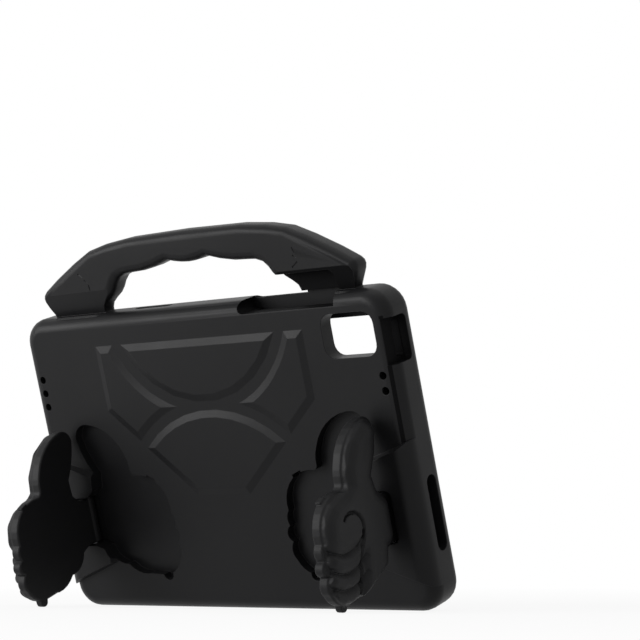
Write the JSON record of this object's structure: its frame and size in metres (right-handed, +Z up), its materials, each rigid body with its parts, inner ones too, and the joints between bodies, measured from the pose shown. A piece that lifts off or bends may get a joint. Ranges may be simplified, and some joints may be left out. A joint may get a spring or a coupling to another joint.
{
  "type": "kids tablet case",
  "caption": "Foam tablet case for children with an arched carry handle, open screen frame and thumb-shaped stands hinged in recesses in its back.",
  "frame": {"origin": "middle of the bounding box's base, on the surface the case stands on", "axes": "+X to the right seen from the case's back, +Y towards the screen side, +Z up; the case leans 17.86 degrees towards its back"},
  "size_m": [0.27, 0.1044, 0.218],
  "materials": {
    "foam": "matte, fine grain",
    "pin_steel": "satin"
  },
  "bodies": {
    "case": {"case_shell": "foam", "hinge_pin_right": "pin_steel", "hinge_pin_left": "pin_steel"},
    "thumb_stand_right": {"stand_right": "foam"},
    "thumb_stand_left": {"stand_left": "foam"}
  },
  "joints": [
    {"name": "stand_right_hinge", "type": "hinge", "parent": "case", "child": "thumb_stand_right", "pos_m": [0.112, 0.01503, 0.0526], "axis": [0, -0.3067, 0.9518], "range_deg": [-89, 0]},
    {"name": "stand_left_hinge", "type": "hinge", "parent": "case", "child": "thumb_stand_left", "pos_m": [-0.112, 0.01503, 0.0526], "axis": [0, -0.3067, 0.9518], "range_deg": [0, 89]}
  ]
}
